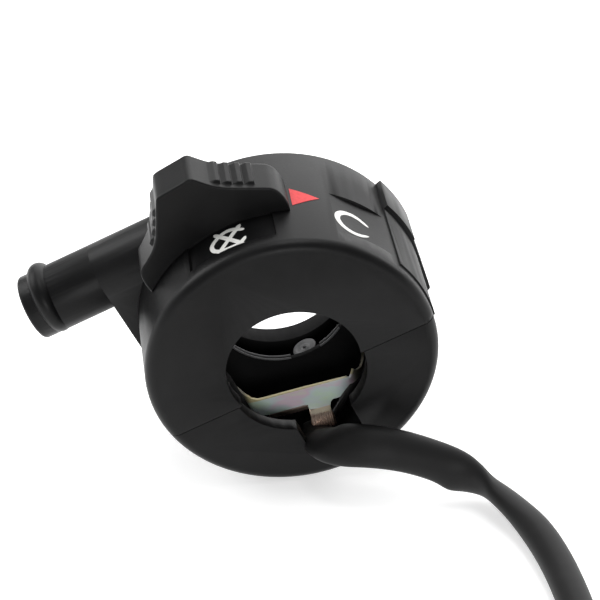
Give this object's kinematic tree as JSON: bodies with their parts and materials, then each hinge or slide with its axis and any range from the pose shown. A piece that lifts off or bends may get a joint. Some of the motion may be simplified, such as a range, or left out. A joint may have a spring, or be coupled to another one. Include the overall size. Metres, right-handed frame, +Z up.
{
  "type": "engine kill switch",
  "caption": "Split handlebar switch housing with a sliding engine stop knob, throttle cable guide pipe, wire clamp bracket and sleeved leads.",
  "frame": {"origin": "on the handlebar's axis at the housing's front face", "axes": "+Y along the handlebar into the housing towards the throttle tube, +Z up as the part lies, the housing leaning 25 degrees about the bar"},
  "size_m": [0.0868, 0.1504, 0.0562],
  "materials": {
    "shell_plastic": "moulded, fine satin grain",
    "knob_plastic": "moulded, satin",
    "inner_plastic": "moulded, natural",
    "base_board": "laminated board, smooth",
    "screw_steel": "zinc plated",
    "spring_steel": "bright wire",
    "contact_brass": "bare",
    "bracket_zinc": "yellow passivated zinc plate",
    "sleeve_pvc": "soft vinyl, satin",
    "lead_black": "vinyl insulation",
    "lead_green": "vinyl insulation",
    "tie_plastic": "nylon tie",
    "boot_pvc": "clear vinyl"
  },
  "bodies": {
    "housing": {"upper_shell": "shell_plastic", "lower_shell": "shell_plastic", "cable_guide_pipe": "shell_plastic", "switch_base": "base_board", "fixed_contact_live": "contact_brass", "fixed_contact_earth": "contact_brass", "contact_rivets": "contact_brass", "base_screws": "screw_steel", "case_screws": "screw_steel", "thread_inserts": "contact_brass", "cable_bracket": "bracket_zinc", "live_lead": "lead_black", "earth_lead": "lead_green", "wire_sleeve": "sleeve_pvc", "sleeve_coil": "sleeve_pvc", "coil_tie": "tie_plastic", "live_tail": "lead_black", "earth_tail": "lead_green", "live_boot": "boot_pvc", "earth_boot": "boot_pvc", "live_bullet": "contact_brass", "earth_bullet": "contact_brass"},
    "slider": {"kill_knob": "knob_plastic", "slide_carrier": "inner_plastic", "knob_screw": "screw_steel", "contact_bridge": "contact_brass", "bridge_spring": "spring_steel", "detent_ball": "spring_steel", "detent_spring": "spring_steel"}
  },
  "joints": [
    {"name": "kill_slide", "type": "hinge", "parent": "housing", "child": "slider", "pos_m": [0, 0.0135, 0], "axis": [0, 1, 0], "range_deg": [0, 16.5]}
  ]
}
